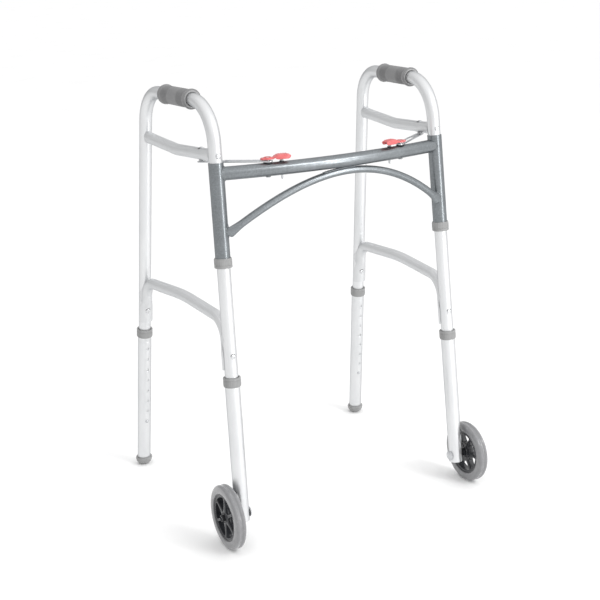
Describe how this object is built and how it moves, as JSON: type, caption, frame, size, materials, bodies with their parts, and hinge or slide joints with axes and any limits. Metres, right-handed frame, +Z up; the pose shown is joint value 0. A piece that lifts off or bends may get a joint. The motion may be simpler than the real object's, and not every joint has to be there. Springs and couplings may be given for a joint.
{
  "type": "front wheeled walker",
  "caption": "Folding walking frame with wheels on the front legs, glides on the rear legs, hand grips and rocker levers on the crossbar.",
  "frame": {"origin": "on the floor under the middle of the walker's outline", "axes": "+Z up, -Y the way it walks, -X its left side as seen from the front"},
  "size_m": [0.5964, 0.5402, 0.8664],
  "materials": {
    "hammered_paint": "blue-grey hammered metallic paint",
    "anodised_tube": "clear anodised, satin",
    "rivet_aluminium": "bright, as driven",
    "bright_steel": "zinc plated",
    "grey_plastic": "moulded, fine satin",
    "vinyl_grip": "soft moulded vinyl",
    "grey_tyre": "smooth solid tyre",
    "black_plastic": "moulded, glossy",
    "red_plastic": "moulded, glossy"
  },
  "bodies": {
    "front_frame": {"crossbar_tube": "hammered_paint", "arch_brace": "hammered_paint", "left_sleeve_tube": "hammered_paint", "left_sleeve_collar": "grey_plastic", "left_pin_spring": "bright_steel", "right_sleeve_tube": "hammered_paint", "right_sleeve_collar": "grey_plastic", "right_pin_spring": "bright_steel"},
    "left_side": {"left_side_tube": "anodised_tube", "left_upper_brace": "anodised_tube", "left_lower_brace": "anodised_tube", "left_hand_grip": "vinyl_grip", "left_upper_front_rivet": "rivet_aluminium", "left_upper_rear_rivet": "rivet_aluminium", "left_lower_front_rivet": "rivet_aluminium", "left_lower_rear_rivet": "rivet_aluminium", "left_link_rivet": "bright_steel"},
    "left_guide": {"left_guide_rivet": "bright_steel"},
    "left_strip": {"left_link_strip": "bright_steel"},
    "left_lever": {"left_release_lever": "red_plastic"},
    "left_pin": {"left_lock_pin": "bright_steel"},
    "left_front_leg": {"left_front_leg_extension": "anodised_tube", "left_front_leg_collar": "grey_plastic", "left_axle_bolt": "bright_steel", "left_axle_nut": "bright_steel", "left_wheel_spacer": "black_plastic"},
    "left_rear_leg": {"left_rear_leg_extension": "anodised_tube", "left_rear_leg_collar": "grey_plastic", "left_rear_glide_cap": "grey_plastic"},
    "left_wheel": {"left_wheel_hub": "black_plastic", "left_tyre": "grey_tyre"},
    "left_front_button": {"left_front_snap_button": "bright_steel"},
    "left_rear_button": {"left_rear_snap_button": "bright_steel"},
    "right_side": {"right_side_tube": "anodised_tube", "right_upper_brace": "anodised_tube", "right_lower_brace": "anodised_tube", "right_hand_grip": "vinyl_grip", "right_upper_front_rivet": "rivet_aluminium", "right_upper_rear_rivet": "rivet_aluminium", "right_lower_front_rivet": "rivet_aluminium", "right_lower_rear_rivet": "rivet_aluminium", "right_link_rivet": "bright_steel"},
    "right_guide": {"right_guide_rivet": "bright_steel"},
    "right_strip": {"right_link_strip": "bright_steel"},
    "right_lever": {"right_release_lever": "red_plastic"},
    "right_pin": {"right_lock_pin": "bright_steel"},
    "right_front_leg": {"right_front_leg_extension": "anodised_tube", "right_front_leg_collar": "grey_plastic", "right_axle_bolt": "bright_steel", "right_axle_nut": "bright_steel", "right_wheel_spacer": "black_plastic"},
    "right_rear_leg": {"right_rear_leg_extension": "anodised_tube", "right_rear_leg_collar": "grey_plastic", "right_rear_glide_cap": "grey_plastic"},
    "right_wheel": {"right_wheel_hub": "black_plastic", "right_tyre": "grey_tyre"},
    "right_front_button": {"right_front_snap_button": "bright_steel"},
    "right_rear_button": {"right_rear_snap_button": "bright_steel"}
  },
  "joints": [
    {"name": "left_fold", "type": "hinge", "parent": "front_frame", "child": "left_side", "pos_m": [-0.24065, -0.15316, 0.719], "axis": [-0.0181, -0.0821, -0.9965], "range_deg": [0, 84]},
    {"name": "left_guide_turn", "type": "hinge", "parent": "front_frame", "child": "left_guide", "pos_m": [-0.145, -0.17227, 0.7317], "axis": [0, 0, 1], "range_deg": [0, 1.88]},
    {"name": "left_strip_slide", "type": "slide", "parent": "left_guide", "child": "left_strip", "axis": [0.7887, -0.6148, 0], "range_m": [0, 0.07523]},
    {"name": "left_lever_press", "type": "hinge", "parent": "front_frame", "child": "left_lever", "pos_m": [-0.145, -0.17227, 0.7397], "axis": [0.135, 0.9908, 0], "range_deg": [0, 6], "stiffness_Nm_per_rad": 0.3, "springref_deg": -11.46},
    {"name": "left_pin_slide", "type": "slide", "parent": "front_frame", "child": "left_pin", "axis": [0, 0, -1], "range_m": [0, 0.00291], "deforming": ["left_pin_spring"]},
    {"name": "left_front_leg_slide", "type": "slide", "parent": "left_side", "child": "left_front_leg", "axis": [0.0181, 0.0821, 0.9965], "range_m": [-0.1778, 0], "deforming": ["left_front_snap_button"]},
    {"name": "left_front_button_press", "type": "slide", "parent": "left_side", "child": "left_front_button", "axis": [0.0566, -0.9951, 0.081], "range_m": [0, 0.005], "stiffness_N_per_m": 300, "springref_m": -0.003},
    {"name": "left_rear_leg_slide", "type": "slide", "parent": "left_side", "child": "left_rear_leg", "axis": [0.03, -0.136, 0.9903], "range_m": [-0.1778, 0], "deforming": ["left_rear_snap_button"]},
    {"name": "left_rear_button_press", "type": "slide", "parent": "left_side", "child": "left_rear_button", "axis": [-0.0513, 0.9892, 0.1374], "range_m": [0, 0.005], "stiffness_N_per_m": 300, "springref_m": -0.003},
    {"name": "left_wheel_spin", "type": "hinge", "parent": "left_front_leg", "child": "left_wheel", "pos_m": [-0.28196, -0.20718, 0.0635], "axis": [-1, 0, 0], "continuous": true},
    {"name": "right_fold", "type": "hinge", "parent": "front_frame", "child": "right_side", "pos_m": [0.24065, -0.15316, 0.719], "axis": [-0.0181, 0.0821, 0.9965], "range_deg": [0, 56]},
    {"name": "right_guide_turn", "type": "hinge", "parent": "front_frame", "child": "right_guide", "pos_m": [0.145, -0.17227, 0.7317], "axis": [0, 0, 1], "range_deg": [0, 9.21]},
    {"name": "right_strip_slide", "type": "slide", "parent": "right_guide", "child": "right_strip", "axis": [-0.7887, -0.6148, 0], "range_m": [0, 0.05062]},
    {"name": "right_lever_press", "type": "hinge", "parent": "front_frame", "child": "right_lever", "pos_m": [0.145, -0.17227, 0.7397], "axis": [0.135, -0.9908, 0], "range_deg": [0, 6], "stiffness_Nm_per_rad": 0.3, "springref_deg": -11.46},
    {"name": "right_pin_slide", "type": "slide", "parent": "front_frame", "child": "right_pin", "axis": [0, 0, -1], "range_m": [0, 0.00291], "deforming": ["right_pin_spring"]},
    {"name": "right_front_leg_slide", "type": "slide", "parent": "right_side", "child": "right_front_leg", "axis": [-0.0181, 0.0821, 0.9965], "range_m": [-0.1778, 0], "deforming": ["right_front_snap_button"]},
    {"name": "right_front_button_press", "type": "slide", "parent": "right_side", "child": "right_front_button", "axis": [-0.0566, -0.9951, 0.081], "range_m": [0, 0.005], "stiffness_N_per_m": 300, "springref_m": -0.003},
    {"name": "right_rear_leg_slide", "type": "slide", "parent": "right_side", "child": "right_rear_leg", "axis": [-0.03, -0.136, 0.9903], "range_m": [-0.1778, 0], "deforming": ["right_rear_snap_button"]},
    {"name": "right_rear_button_press", "type": "slide", "parent": "right_side", "child": "right_rear_button", "axis": [0.0513, 0.9892, 0.1374], "range_m": [0, 0.005], "stiffness_N_per_m": 300, "springref_m": -0.003},
    {"name": "right_wheel_spin", "type": "hinge", "parent": "right_front_leg", "child": "right_wheel", "pos_m": [0.28196, -0.20718, 0.0635], "axis": [1, 0, 0], "continuous": true}
  ],
  "couplings": [
    {"joint": "left_guide_turn", "follows": "left_fold", "ratio": 0.021902},
    {"joint": "left_strip_slide", "follows": "left_fold", "m_per_rad": 0.051057},
    {"joint": "left_pin_slide", "follows": "left_lever_press", "m_per_rad": 0.027249},
    {"joint": "right_guide_turn", "follows": "right_fold", "ratio": 0.16118},
    {"joint": "right_strip_slide", "follows": "right_fold", "m_per_rad": 0.051531},
    {"joint": "right_pin_slide", "follows": "right_lever_press", "m_per_rad": 0.027249}
  ]
}
